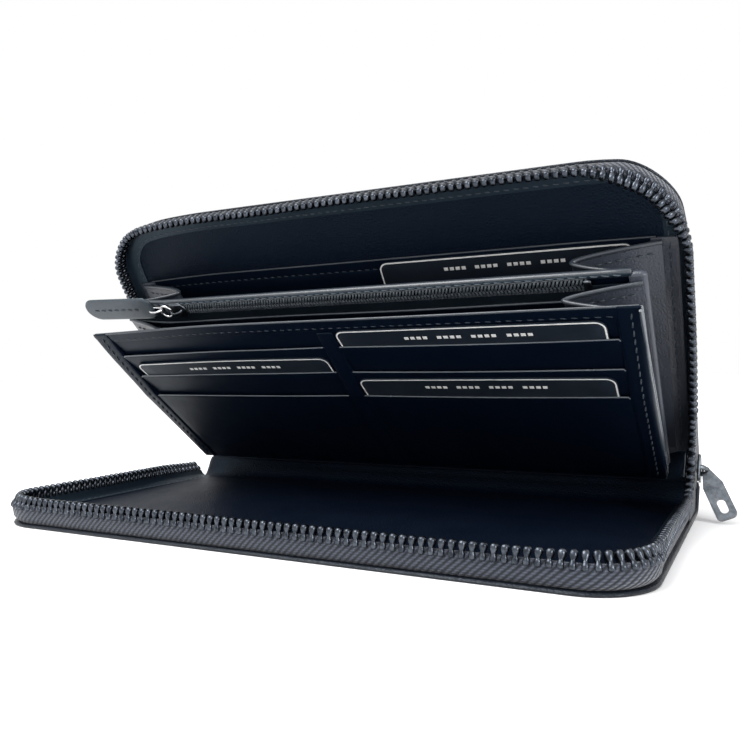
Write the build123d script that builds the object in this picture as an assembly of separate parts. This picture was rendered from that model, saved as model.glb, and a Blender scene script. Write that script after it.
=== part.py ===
"""Long zip-around wallet, standing open on its base cover. Units are millimetres.

X runs along the spine, +Y away from the open side, +Z up. The origin is the middle of the base
cover's underside. Each wall is drawn flat in its own plane (x across, y up the wall, z towards the
inside of the wallet) and put in place at its resting angle.
"""
from build123d import *
import math
import os

os.makedirs("parts", exist_ok=True)

# covers and spine
COVER_WIDTH = 216.0
COVER_DEPTH = 114.5
CORNER_RADIUS = 18.0
CREASE_Y = 57.0
HALF_THICK = 1.3
SPINE_WIDTH = 20.0
PLATE_START = 1.8
SPINE_ANGLE = 62.5
BACK_ANGLE = 125.0

# main zip
TOOTH_PITCH = 2.65
TOOTH_LONG = 1.3
TOOTH_THICK = 2.6
TAPE_TOP = 5.4
TEETH_TOP = SPINE_WIDTH / 2 - 0.25
TAPE_INSET = 1.0
TAPE_THICK = 0.8
RIGHT_CLEAR = 24.0
LEFT_CLEAR = 4.0

# inner walls
COIN_TURN = 10.7
FRONT_TURN = 6.5
HINGE_UP = 3.0
COIN_OUT = 8.0
FRONT_OUT = 15.5
WALL_HALF = 97.5
COIN_HALF = 94.4
COIN_TOP = 87.6
FRONT_TOP = 87.0
REAR_TOP = 88.0
CARD_SIZE = (85.6, 54.0, 0.76)
LEATHER = 0.4
GUSSET = 0.5

# pulls
SLIDER_AT = 13.0
PULL_AXIS = 110.6
PULL_TILT = 25.0


def wall_plane(y, z, angle):
    """The plane of a wall that starts at (y, z) and rises at angle, measured from +Y towards +Z."""
    turn = math.radians(angle)
    return Plane(origin=(0, y, z), x_dir=(1, 0, 0), z_dir=(0, -math.sin(turn), math.cos(turn)))


base = Plane(origin=(0, CREASE_Y, HALF_THICK), x_dir=(-1, 0, 0), z_dir=(0, 0, 1))
spine = wall_plane(CREASE_Y, HALF_THICK, SPINE_ANGLE)
crease_2 = spine.from_local_coords((0, SPINE_WIDTH, 0))
back = wall_plane(crease_2.Y, crease_2.Z, BACK_ANGLE)
coin_hinge = back.from_local_coords((0, HINGE_UP, COIN_OUT))
coin = wall_plane(coin_hinge.Y, coin_hinge.Z, BACK_ANGLE + COIN_TURN)
front_hinge = back.from_local_coords((0, HINGE_UP, FRONT_OUT))
front = wall_plane(front_hinge.Y, front_hinge.Z, BACK_ANGLE + COIN_TURN + FRONT_TURN)
bisector = spine.z_dir
slider = Plane(
    origin=spine.from_local_coords((0, SPINE_WIDTH / 2, 0)),
    x_dir=(1, 0, 0),
    z_dir=Vector(1, 0, 0).cross(bisector),
)


def save(name, plane, *solids):
    """Put the solids drawn in a plane in place and write them as one part."""
    placed = [plane.location * solid for solid in solids]
    shape = placed[0] if len(placed) == 1 else Compound(children=placed)
    shape.label = name
    export_step(shape, f"parts/{name}.step")


def block(x0, x1, y0, y1, z0, z1):
    """A box given by its limits."""
    middle = Pos((x0 + x1) / 2, (y0 + y1) / 2, (z0 + z1) / 2)
    return middle * Box(x1 - x0, y1 - y0, z1 - z0)


def cover_outline(inset, start):
    """The flat outline of a cover, with round corners at the free end."""
    end = COVER_DEPTH - inset
    sheet = Pos(0, (start + end) / 2) * Rectangle(COVER_WIDTH - 2 * inset, end - start)
    corners = sheet.vertices().sort_by(Axis.Y)[-2:]
    return fillet(corners, CORNER_RADIUS - inset)


def cover_plate(inset, start, bottom, top):
    """One flat layer of a cover."""
    return extrude(Pos(0, 0, bottom) * cover_outline(inset, start), top - bottom)


def cover_band(outer, inner, start, bottom, top):
    """A band round the three free sides of a cover."""
    ring = cover_outline(outer, start) - cover_outline(inner, start - 5)
    return extrude(Pos(0, 0, bottom) * ring, top - bottom)


def path_point(distance):
    """A point and heading on the tooth line, from the left end round to the right end."""
    inset = TAPE_INSET + TAPE_THICK / 2
    half = COVER_WIDTH / 2 - inset
    end = COVER_DEPTH - inset
    radius = CORNER_RADIUS - inset
    side = end - radius - LEFT_CLEAR
    arc = radius * math.pi / 2
    across = 2 * (half - radius)
    if distance < side:
        return -half, LEFT_CLEAR + distance, 90.0
    distance -= side
    if distance < arc:
        turn = distance / radius
        x = -half + radius - radius * math.cos(turn)
        y = end - radius + radius * math.sin(turn)
        return x, y, 90 - math.degrees(turn)
    distance -= arc
    if distance < across:
        return -half + radius + distance, end, 0.0
    distance -= across
    if distance < arc:
        turn = distance / radius
        x = half - radius + radius * math.sin(turn)
        y = end - radius + radius * math.cos(turn)
        return x, y, -math.degrees(turn)
    distance -= arc
    return half, end - radius - distance, -90.0


def tooth_row(mirrored, first):
    """Metal teeth standing on the tape, kept clear of the slider on the right."""
    teeth = []
    distance = first
    while True:
        x, y, heading = path_point(distance)
        if x > 0 and y < RIGHT_CLEAR + TOOTH_LONG:
            return teeth
        if mirrored:
            x, heading = -x, 180 - heading
        tooth = Box(TOOTH_LONG, TOOTH_THICK, TEETH_TOP - TAPE_TOP)
        place = Pos(x, y, (TAPE_TOP + TEETH_TOP) / 2) * Rot(0, 0, heading)
        teeth.append(place * tooth)
        distance += TOOTH_PITCH


def zip_tape(mirrored):
    """Twill tape: a foot sewn between the layers and a wall that stands up from it."""
    foot = cover_band(0.4, 3.0, PLATE_START, -0.3, 0.6)
    wall = cover_band(TAPE_INSET, TAPE_INSET + TAPE_THICK, PLATE_START + 1.2, 0.6, TAPE_TOP)
    sign = -1 if mirrored else 1
    near = sorted((sign * 100.0, sign * 112.0))
    notch = block(near[0], near[1], 0, RIGHT_CLEAR, 4.8, TEETH_TOP)
    return foot + (wall - notch)


def make_cover(name, plane, mirrored, first):
    """The six layers of a cover with its half of the zip."""
    save(f"{name}_outer_leather", plane, cover_plate(0, PLATE_START, -HALF_THICK, -0.3))
    save(f"{name}_stiffener_board", plane, cover_plate(3.0, PLATE_START, -0.3, 0.6))
    save(f"{name}_lining", plane, cover_plate(TAPE_INSET + TAPE_THICK, PLATE_START, 0.6, HALF_THICK))
    save(f"{name}_zip_tape", plane, zip_tape(mirrored))
    save(f"{name}_zip_teeth", plane, *tooth_row(mirrored, first))
    inset = TAPE_INSET + TAPE_THICK
    save(f"{name}_zip_binding", plane, cover_band(inset, inset + 0.8, 4.0, HALF_THICK, 4.6))


def make_spine():
    """The strip between the creases and the folded ends of the tapes."""
    half = COVER_WIDTH / 2
    end = SPINE_WIDTH - PLATE_START
    save("spine_leather", spine, block(-half, half, PLATE_START, end, -HALF_THICK, 0))
    save("spine_lining", spine, block(1 - half, half - 1, PLATE_START, end, 0, HALF_THICK))
    save("zip_tail_tape", slider, block(105.6, 107.0, HALF_THICK, 9.5, -2.5, 2.5))


def slot_layer(x0, x1, edge, bottom, low, gap, card_foot):
    """A slot layer: a leather sheet held off what is behind it by rails at its sides and foot."""
    sheet = block(x0, x1, bottom, edge, low + gap, low + gap + LEATHER)
    left = block(x0, x0 + 1.2, card_foot - 2, edge, low, low + gap)
    right = block(x1 - 1.2, x1, card_foot - 2, edge, low, low + gap)
    foot = block(x0 + 1.2, x1 - 1.2, card_foot - 2, card_foot - 0.2, low, low + gap)
    return sheet + left + right + foot


def card(x0, top, low, gap):
    """A card in its slot, with round corners."""
    width, height, thick = CARD_SIZE
    face = Pos(x0 + width / 2, top - height / 2) * RectangleRounded(width, height, 3.2)
    return extrude(Pos(0, 0, low + (gap - thick) / 2) * face, thick)


def make_rear_wall():
    """Card wall sewn on the back lining, its card and the strips that hold the gussets."""
    save("rear_wall_panel", back, block(-97, 97, 4, REAR_TOP, 1.3, 2.05))
    save("rear_slot_top", back, slot_layer(-97, 97, 76, 4, 2.05, 0.85, REAR_TOP - 54.8))
    save("rear_slot_middle", back, block(-97, 97, 4, 64, 3.3, 3.7))
    save("rear_slot_bottom", back, block(-97, 97, 4, 52, 3.7, 4.1))
    save("card_rear", back, card(6.8, REAR_TOP - 0.8, 2.05, 0.85))
    for name, sign in (("right", 1), ("left", -1)):
        strip = block(97.2, 104.2, 4, REAR_TOP, 1.3, 1.8) + block(97.2, 99, 4, REAR_TOP, 1.8, 4.1)
        flap = strip if sign > 0 else mirror(strip, about=Plane.YZ)
        save(f"{name}_gusset_flap", back, flap)


def make_coin_pocket():
    """The middle wall: a flat pocket closed by a coil zip near its top."""
    half = COIN_HALF
    save("coin_rear_panel", coin, block(-half, half, 0.5, 86, -1.3, -0.6))
    save("coin_front_panel", coin, block(-half, half, 0.5, 78, 0.6, 1.3))
    save("coin_bottom_seam", coin, block(-half, half, 0.5, 2.5, -0.6, 0.6))
    save("coin_top_roll", coin, block(-half, half, 86, COIN_TOP, -1.3, 0.6))
    save("coin_right_roll", coin, block(half, half + 4, 0.5, 86, -1.3, 1.3))
    save("coin_left_roll", coin, block(-half - 4, -half, 0.5, 86, -1.3, 1.3))
    save("coin_zip_tape_upper", coin, block(-half, half, 85.4, 87.2, 0.6, 0.95))
    save("coin_zip_tape_lower", coin, block(-half, half, 76, 83.4, 0.25, 0.6))
    save("coin_zip_coil", coin, block(-72, 81.6, 83, 85.4, 0.6, 1.6))
    save("coin_zip_stop_left", coin, block(-74, -72, 82.6, 85.8, 0.95, 1.9))
    save("coin_zip_stop_right", coin, block(81.6, 83.6, 82.6, 85.8, 0.95, 1.9))


def make_coin_slider():
    """Small slider on the coil, with two linked rings and a leather tab."""
    y = 84.2
    plate = block(-71.8, -63.8, y - 3, y + 3, 1.75, 2.4)
    rim_low = block(-71.8, -63.8, y - 2.6, y - 1.4, 1.05, 1.75)
    rim_high = block(-71.8, -63.8, y + 1.4, y + 2.6, 1.05, 1.75)
    leg_a = block(-71.5, -70.9, y - 0.9, y + 0.9, 2.4, 3.8)
    leg_b = block(-66.6, -66.0, y - 0.9, y + 0.9, 2.4, 3.8)
    bridge = block(-71.5, -66.0, y - 0.9, y + 0.9, 3.8, 4.4)
    save("coin_slider_body", coin, plate + rim_low + rim_high + leg_a + leg_b + bridge)
    save("coin_pull_ring_inner", coin, Pos(-72.3, y, 3.1) * Torus(2.5, 0.4))
    upright = Plane(origin=(-76.6, y, 3.1), x_dir=(1, 0, 0), z_dir=(0, 1, 0))
    loop = upright.location * Ellipse(2.7, 1.1).edge()
    start = Plane(origin=loop @ 0, z_dir=loop % 0)
    save("coin_pull_ring_outer", coin, sweep(start * Circle(0.35), path=loop))
    face = Pos(-95.8, y) * SlotOverall(35.8, 9.6)
    square = Pos(-84.5, y) * RectangleRounded(13.2, 9.6, 1.5)
    hole = Pos(-79.3, y) * Circle(0.9)
    tab = extrude(Pos(0, 0, 2.55) * (face + square - hole), 1.1)
    save("coin_pull_leather", coin, tab)


def make_front_wall():
    """The front card wall: a back panel with a folded hem, six slots and three cards."""
    panel = block(-WALL_HALF - 1.5, WALL_HALF + 1.5, 0.5, FRONT_TOP, -2.275, -1.575)
    save("front_wall_panel", front, fillet(panel.edges().filter_by(Axis.Z).sort_by(Axis.Y)[:2], 7))
    save("front_top_hem", front, block(-97, 97, 82, FRONT_TOP, -2.675, -2.275))
    foot = {"top": 28.5, "middle": 16.5, "bottom": 6.0}
    edge = {"top": 75.0, "middle": 63.0, "bottom": 51.0}
    low = {"top": -1.575, "middle": -0.325, "bottom": 0.925}
    for row in ("top", "middle", "bottom"):
        layer = slot_layer(2.5, WALL_HALF, edge[row], 3.6, low[row], 0.85, foot[row])
        save(f"front_right_slot_{row}", front, layer)
        save(f"front_left_slot_{row}", front, mirror(layer, about=Plane.YZ))
    save("card_right_upper", front, card(3.8, 82.5, low["top"], 0.85))
    save("card_left_middle", front, card(-89.6, 70.5, low["middle"], 0.85))
    save("card_right_lower", front, card(3.9, 60.0, low["bottom"], 0.85))


def make_main_slider():
    """Slider parked at the right end of the spine, with its hinged metal pull."""
    y0 = SLIDER_AT - 4.5
    y1 = SLIDER_AT + 4.5
    inner = block(103.9, 104.9, y0, y1, -4.2, 4.2)
    outer = block(108.2, 109.2, y0, y1, -4.2, 4.2)
    wedge = block(104.9, 108.2, y1 - 2.2, y1 - 0.2, -1.0, 1.0)
    leg_a = block(109.2, PULL_AXIS + 0.7, 9.3, 10.3, -0.8, 0.8)
    leg_b = block(109.2, PULL_AXIS + 0.7, 15.7, 16.7, -0.8, 0.8)
    bar = Pos(PULL_AXIS, SLIDER_AT, 0) * Rot(90, 0, 0) * Cylinder(0.55, 5.4)
    save("main_slider_body", slider, inner + outer + wedge + leg_a + leg_b + bar)
    tilt = math.radians(PULL_TILT)
    down = Vector(1, 0, 0) * math.sin(tilt) + slider.z_dir * math.cos(tilt)
    hinge = slider.from_local_coords((PULL_AXIS, SLIDER_AT, 0))
    pull = Plane(origin=hinge, x_dir=down.cross(bisector), z_dir=bisector)
    eye = Cylinder(1.25, 1.4)
    neck = extrude(Pos(0, 0, -0.7) * Polygon((-1.2, 0), (1.2, 0), (3.2, 5.6), (-3.2, 5.6), align=None), 1.4)
    blade = extrude(Pos(0, 11.1, -0.7) * RectangleRounded(6.4, 13.6, 1.6), 1.4)
    oblong = extrude(Pos(0, 13.4, -2) * Rot(0, 0, 90) * SlotOverall(5.2, 2.6), 4)
    bore = Cylinder(0.65, 6)
    save("main_pull_tab", pull, eye + neck + blade - oblong - bore)


def leaf(name, wall, face, inward, other, other_face, edge_x, apex_x, low, high):
    """A gusset leaf from a wall's edge to the fold half way between two walls."""
    shift = wall.z_dir * (inward * GUSSET)
    wires = []
    for length in (low, high):
        near = wall.from_local_coords((edge_x, length[0], face))
        at_a = wall.from_local_coords((apex_x, length[0], face))
        at_b = other.from_local_coords((apex_x, length[1], other_face))
        fold = (at_a + at_b) * 0.5
        wires.append(Wire.make_polygon([near, near + shift, fold, fold - shift], close=True))
    save(name, Plane.XY, Solid.make_loft(wires, ruled=True))


def make_gussets():
    """Four V folds, two on each side, two leaves to a fold."""
    for name, sign, top in (("right", 1, 81.5), ("left", -1, 78.0)):
        up = HINGE_UP
        rear = ((6 + up, 6), (81.5 + up, 81.5))
        leaf(f"gusset_{name}_rear_outer", back, 4.15, 1, coin, -1.35, sign * 98.8, sign * 76, *rear)
        swapped = tuple((b, a) for a, b in rear)
        leaf(f"gusset_{name}_rear_inner", coin, -1.35, -1, back, 4.15, sign * 97, sign * 76, *swapped)
        ends = ((6, 6), (top, top))
        leaf(f"gusset_{name}_front_inner", coin, 1.35, 1, front, -2.33, sign * 97, sign * 77, *ends)
        leaf(f"gusset_{name}_front_outer", front, -2.33, -1, coin, 1.35, sign * 98, sign * 77, *ends)


make_cover("base", base, True, 0.0)
make_spine()
make_cover("back", back, False, TOOTH_PITCH / 2)
make_rear_wall()
make_coin_pocket()
make_coin_slider()
make_front_wall()
make_main_slider()
make_gussets()
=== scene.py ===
"""A long zip-around wallet standing open: leather covers and walls, zips, cards and pulls.

Lengths in the modelling code are millimetres; every point is turned into metres by a wall's at().
Each wall has its own flat coordinates: x across, up along the wall, out towards the inside.
"""
import random
from math import ceil, copysign, cos, dist, hypot, pi, radians, sin, sqrt

import bmesh
import bpy
from mathutils import Matrix, Vector


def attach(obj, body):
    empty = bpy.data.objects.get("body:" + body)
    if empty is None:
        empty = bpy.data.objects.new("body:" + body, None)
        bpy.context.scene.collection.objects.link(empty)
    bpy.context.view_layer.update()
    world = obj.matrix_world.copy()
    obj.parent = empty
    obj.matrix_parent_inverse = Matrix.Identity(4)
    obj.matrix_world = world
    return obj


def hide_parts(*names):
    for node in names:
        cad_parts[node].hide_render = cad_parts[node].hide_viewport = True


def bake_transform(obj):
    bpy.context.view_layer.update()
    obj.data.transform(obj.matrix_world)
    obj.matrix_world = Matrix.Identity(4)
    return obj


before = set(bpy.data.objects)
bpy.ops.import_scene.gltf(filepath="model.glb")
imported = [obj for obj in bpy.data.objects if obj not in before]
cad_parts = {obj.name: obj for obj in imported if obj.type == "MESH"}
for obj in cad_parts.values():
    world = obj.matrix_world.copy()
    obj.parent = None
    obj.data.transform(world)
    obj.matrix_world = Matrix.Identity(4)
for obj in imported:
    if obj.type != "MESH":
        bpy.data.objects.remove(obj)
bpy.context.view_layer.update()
random.seed(7)

MM = 0.001
COVER_HALF = 108.0  # half the width of a cover
COVER_DEPTH = 114.5  # crease to free edge
CORNER = 18.0  # radius of a cover's free corners
SPINE = 20.0  # crease to crease
BEND = 4.0  # how far to each side a crease is rounded
ZIP_TOP = 9.0  # tips of the teeth above the crease line of their cover
ZIP_INSET = 1.4  # teeth in from the cover's edge
TOOTH_PITCH = 2.65
TEETH_FROM = 24.0  # the straight row ends this far from the right crease
FRONT_HALF = 98.2  # half the width of the front card wall
COIN_HALF = 94.4  # half the width of the coin pocket's panels
COIN_CHAIN = 84.1  # height of the coin zip's chain up the pocket
COIN_SLIDER = 84.2  # height of its slider
GUSSET_THICK = 0.5
STITCH_SPREAD = 0.05  # how much the slant of the stitches varies


class Wall:
    """A flat wall through a line along X, rising at an angle from +Y towards +Z."""

    def __init__(self, y, z, angle, side=1, warp=None):
        turn = radians(angle)
        self.warp = warp
        self.y, self.z = y, z
        self.up = (cos(turn), sin(turn))
        self.out = (-sin(turn) * side, cos(turn) * side)
        self.normal = Vector((0, *self.out))
        self.rise = Vector((0, *self.up))

    def yz(self, up, out):
        y = self.y + up * self.up[0] + out * self.out[0]
        return y, self.z + up * self.up[1] + out * self.out[1]

    def at(self, x, up, out):
        if self.warp:
            x, up, out = self.warp(x, up, out)
        return Vector((x, *self.yz(up, out))) * MM


def smooth(value):
    """Smooth step from 0 to 1."""
    value = min(max(value, 0.0), 1.0)
    return value * value * (3 - 2 * value)


def back_warp(x, up, out):
    """The free edge and its corners are pulled in a little."""
    corner = smooth((abs(x) - 78) / 30) * smooth((up - 82) / 32)
    left = smooth((-60 - x) / 45) * smooth((up - 60) / 50)
    up -= 1.8 * smooth((up - 70) / 44) + 2.2 * corner + 1.6 * left
    return x - copysign(2.4 * corner, x), up, out


def front_warp(x, up, out):
    """The left end of the front wall bends forwards."""
    return x, up, out + 2.0 * smooth((-38 - x) / 75) * smooth((up - 46) / 36)


def coin_warp(x, up, out):
    """The left end of the coin pocket bends the other way."""
    return x, up, out - 2.3 * smooth((-74 - x) / 26)


base = Wall(57.0, 1.3, 180.0, -1)
spine = Wall(57.0, 1.3, 62.5)
back = Wall(*spine.yz(SPINE, 0), 125.0, warp=back_warp)
coin = Wall(*back.yz(3.0, 8.0), 135.7, warp=coin_warp)
front = Wall(*back.yz(3.0, 15.5), 142.2, warp=front_warp)
pull_plane = Wall(*back.yz(3.0, 8.0), 135.7)
slide = Wall(*spine.yz(SPINE / 2, 0), 152.5)


def mix(a, b, share):
    return a + (b - a) * share


def steps(start, end, count):
    return [mix(start, end, i / (count - 1)) for i in range(count)]


def travelled(points, unit=1.0):
    """How far along a line each of its points is."""
    lengths = [0.0]
    for a, b in zip(points, points[1:]):
        lengths.append(lengths[-1] + dist(a, b) / unit)
    return lengths


def edge_walk(rows, columns):
    """The (row, column) places round the edge of a grid."""
    last, far = rows - 1, columns - 1
    walk = [(0, i) for i in range(columns)] + [(j, far) for j in range(1, rows)]
    return walk + [(last, i) for i in range(far - 1, -1, -1)] + [(j, 0) for j in range(last - 1, 0, -1)]


def add_object(name, data):
    """A new object in the scene."""
    thing = bpy.data.objects.new(name, data)
    bpy.context.scene.collection.objects.link(thing)
    return thing


# ---- mesh building


class Shape:
    """A mesh being put together from lofted rings."""

    # each ring of a stitch: place along it, size, lift above the surface
    STITCH_RINGS = ((-1, 0.3, -0.1), (-0.7, 0.85, 0.05), (0, 1, 0.12), (0.7, 0.85, 0.05), (1, 0.3, -0.1))
    # each level of a tooth: share of its height, half size along the row, half size across it
    TOOTH_LEVELS = (
        (0.0, 0.62, 1.10), (0.05, 0.88, 1.34), (0.26, 0.92, 1.40), (0.36, 0.70, 1.26), (0.44, 0.58, 1.14),
        (0.54, 0.80, 1.22), (0.68, 1.04, 1.32), (0.84, 1.02, 1.28), (0.95, 0.74, 1.04), (1.0, 0.34, 0.6),
    )

    def __init__(self):
        self.verts, self.flat, self.faces = [], [], []

    def point(self, place, u=0.0, v=0.0):
        self.verts.append(place)
        self.flat.append((u, v))
        return len(self.verts) - 1

    def bridge(self, ring_a, ring_b, closed=True):
        count = len(ring_a)
        for i in range(count if closed else count - 1):
            j = (i + 1) % count
            self.faces.append((ring_a[i], ring_a[j], ring_b[j], ring_b[i]))

    def loft(self, rings, caps=True):
        for ring_a, ring_b in zip(rings, rings[1:]):
            self.bridge(ring_a, ring_b)
        if caps:
            self.faces.append(tuple(rings[0]))
            self.faces.append(tuple(reversed(rings[-1])))

    def sheet(self, at, spans, ups, columns, low, high, bulge=0.3):
        """A closed sheet with round edges. spans(up) gives its x limits, low and high its faces."""
        low = low if callable(low) else (lambda x, u, z=low: z)
        high = high if callable(high) else (lambda x, u, z=high: z)
        tops, bottoms = [], []
        for up in ups:
            x0, x1 = spans(up) if callable(spans) else spans
            places = [mix(x0, x1, i / (columns - 1)) for i in range(columns)]
            tops.append([self.point(at(x, up, high(x, up)), x, up) for x in places])
            bottoms.append([self.point(at(x, up, low(x, up)), x, up) for x in places])
        for grid in (tops, bottoms):
            for row_a, row_b in zip(grid, grid[1:]):
                self.bridge(row_a, row_b, closed=False)
        walk = edge_walk(len(ups), columns)
        rim = [self.flat[tops[j][i]] for j, i in walk]
        rings = [[tops[j][i] for j, i in walk]]
        for angle in (50, 0, -50):
            ring = []
            for k, (x, up) in enumerate(rim):
                before, after = rim[k - 1], rim[(k + 1) % len(rim)]
                dx, dy = after[0] - before[0], after[1] - before[1]
                size = hypot(dx, dy) or 1.0
                reach = bulge * cos(radians(angle))
                z0, z1 = low(x, up), high(x, up)
                z = (z0 + z1) / 2 + (z1 - z0) / 2 * sin(radians(angle))
                px, py = x + dy / size * reach, up - dx / size * reach
                ring.append(self.point(at(px, py, z), px, py))
            rings.append(ring)
        rings.append([bottoms[j][i] for j, i in walk])
        self.loft(rings, caps=False)
        return self

    def tube(self, points, radius, sides=8, closed=False, squash=1.0, normal=None):
        """A round tube along points in metres; squash flattens it along normal."""
        radius *= MM
        count = len(points)
        side = None
        rings = []
        reached = 0.0
        for i, place in enumerate(points):
            ahead = points[(i + 1) % count] if closed or i < count - 1 else place
            behind = points[i - 1] if closed or i else place
            along = (ahead - behind).normalized()
            if side is None:
                side = normal or (Vector((0, 0, 1)) if abs(along.z) < 0.9 else Vector((1, 0, 0)))
            side = ((normal or side) - along * (normal or side).dot(along)).normalized()
            other = along.cross(side)
            reached += (place - points[i - 1]).length if i else 0.0
            ring = []
            for k in range(sides):
                turn = 2 * pi * k / sides
                offset = side * (cos(turn) * radius * squash) + other * (sin(turn) * radius)
                ring.append(self.point(place + offset, reached / MM, k * 0.3))
            rings.append(ring)
        if closed:
            rings.append(rings[0])
        self.loft(rings, caps=not closed)
        return self

    def stitches(self, points, normal, pitch=3.1, length=2.3, width=0.5, height=0.28, turn=0.12):
        """Sewn stitches along points in metres, lying on a surface with that normal."""
        lengths = travelled(points, MM)
        total = lengths[-1]
        count = max(1, int(total / pitch))
        k = 0
        for n in range(count):
            where = (n + 0.5) * total / count
            while lengths[k + 1] < where:
                k += 1
            share = (where - lengths[k]) / (lengths[k + 1] - lengths[k])
            place = points[k].lerp(points[k + 1], share)
            along = (points[k + 1] - points[k]).normalized()
            across = along.cross(normal).normalized()
            aim = (along + across * (turn + random.uniform(-STITCH_SPREAD, STITCH_SPREAD))).normalized()
            across = aim.cross(normal).normalized()
            rings = []
            for s, size, lift in self.STITCH_RINGS:
                centre = place + aim * (s * length / 2 * MM) + normal * (lift * MM)
                ring = []
                for j in range(6):
                    angle = 2 * pi * j / 6
                    offset = across * (cos(angle) * width / 2) + normal * (sin(angle) * height)
                    ring.append(self.point(centre + offset * (size * MM)))
                rings.append(ring)
            self.loft(rings)
        return self

    def tooth(self, foot, tip, along, across):
        """One cast tooth, from its legs on the tape to its round head."""
        rings = []
        for share, half_along, half_across in self.TOOTH_LEVELS:
            centre = foot.lerp(tip, share)
            ring = []
            for k in range(10):
                turn = 2 * pi * k / 10
                c, s = cos(turn), sin(turn)
                c = copysign(abs(c) ** 0.7, c) * half_along
                s = copysign(abs(s) ** 0.7, s) * half_across
                ring.append(self.point(centre + (along * c + across * s) * MM))
            rings.append(ring)
        self.loft(rings)

    def make(self, name, material, body=None, *nodes):
        """Turn it into an object that rides on a body and stands for some CAD nodes."""
        mesh = bpy.data.meshes.new(name)
        mesh.from_pydata([tuple(v) for v in self.verts], [], self.faces)
        layer = mesh.uv_layers.new(name="flat")
        for loop in mesh.loops:
            u, v = self.flat[loop.vertex_index]
            layer.data[loop.index].uv = (u * 0.01, v * 0.01)
        mesh.validate()
        recalculate(mesh)
        mesh.shade_smooth()
        mesh.set_sharp_from_angle(angle=radians(50))
        mesh.materials.append(materials[material])
        piece = add_object(name, mesh)
        if nodes:
            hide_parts(*nodes)
        if body:
            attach(piece, body)
        return piece


def recalculate(mesh):
    """Make all the faces look outwards."""
    work = bmesh.new()
    work.from_mesh(mesh)
    bmesh.ops.recalc_face_normals(work, faces=work.faces)
    work.to_mesh(mesh)
    work.free()


# ---- materials


class Nodes:
    """A node tree with short calls to fill it."""

    def __init__(self, name):
        self.material = bpy.data.materials.new(name)
        self.material.use_nodes = True
        self.tree = self.material.node_tree
        self.shader = self.tree.nodes["Principled BSDF"]
        self.place = self.tree.nodes.new("ShaderNodeTexCoord")

    def add(self, kind, **settings):
        node = self.tree.nodes.new("ShaderNode" + kind)
        for key, value in settings.items():
            setattr(node, key, value)
        return node

    def link(self, a, b):
        self.tree.links.new(a, b)

    def texture(self, kind, scale, source=None, settings=None, **inputs):
        """A texture node in object coordinates, or in those of source."""
        node = self.add(kind, **(settings or {}))
        for name, number in {"Scale": scale, **inputs}.items():
            node.inputs[name.replace("_", " ")].default_value = number
        self.link(source or self.place.outputs["Object"], node.inputs["Vector"])
        return node.outputs

    def noise(self, scale, detail=4.0, rough=0.5):
        return self.texture("TexNoise", scale, Detail=detail, Roughness=rough)["Fac"]

    def wave(self, direction, scale, source, **inputs):
        return self.texture("TexWave", scale, source, {"bands_direction": direction}, **inputs)["Fac"]

    def range(self, value, low, high, top=1.0):
        node = self.add("MapRange")
        for name, number in (("From Max", top), ("To Min", low), ("To Max", high)):
            node.inputs[name].default_value = number
        self.link(value, node.inputs["Value"])
        return node.outputs["Result"]

    def multiply(self, a, b):
        node = self.add("Math", operation="MULTIPLY")
        self.link(a, node.inputs[0])
        self.link(b, node.inputs[1])
        return node.outputs[0]

    def colours(self, value, stops):
        node = self.add("ValToRGB")
        ramp = node.color_ramp
        while len(ramp.elements) < len(stops):
            ramp.elements.new(0.5)
        for element, (where, colour) in zip(ramp.elements, stops):
            element.position = where
            element.color = (*colour, 1)
        self.link(value, node.inputs["Fac"])
        self.link(node.outputs["Color"], self.shader.inputs["Base Color"])

    def bump(self, layers):
        """layers are (height, strength, distance in mm), from the broadest to the finest."""
        normal = None
        for height, strength, distance in layers:
            node = self.add("Bump")
            node.inputs["Strength"].default_value = strength
            node.inputs["Distance"].default_value = distance * MM
            self.link(height, node.inputs["Height"])
            if normal:
                self.link(normal, node.inputs["Normal"])
            normal = node.outputs["Normal"]
        self.link(normal, self.shader.inputs["Normal"])

    def rough(self, scale, detail, low, high):
        """Sheen that varies a little from place to place."""
        self.link(self.range(self.noise(scale, detail, 0.6), low, high), self.shader.inputs["Roughness"])

    def set(self, **values):
        for key, value in values.items():
            self.shader.inputs[key.replace("_", " ").title().replace("Ior", "IOR")].default_value = value


def leather(name, dark, light, rough, grain, depth, gloss=0.5):
    """Finished leather: fine pebbled grain, soft creases and a little unevenness of colour and sheen."""
    n = Nodes(name)
    patches = n.noise(38, 5, 0.6)
    n.colours(patches, ((0.3, dark), (0.75, light)))
    cells = n.texture("TexVoronoi", 1000 / grain, settings={"feature": "DISTANCE_TO_EDGE"})
    cells = n.range(cells["Distance"], 0, 1, 0.35)
    pores = n.noise(2600 / grain, 3, 0.6)
    creases = n.noise(120, 4, 0.55)
    n.bump(((creases, 0.25, 0.5), (cells, depth, 0.09 * grain), (pores, depth * 0.7, 0.05 * grain)))
    n.rough(70, 4, rough - 0.07, rough + 0.09)
    n.set(specular_ior_level=gloss)
    return n.material


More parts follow.
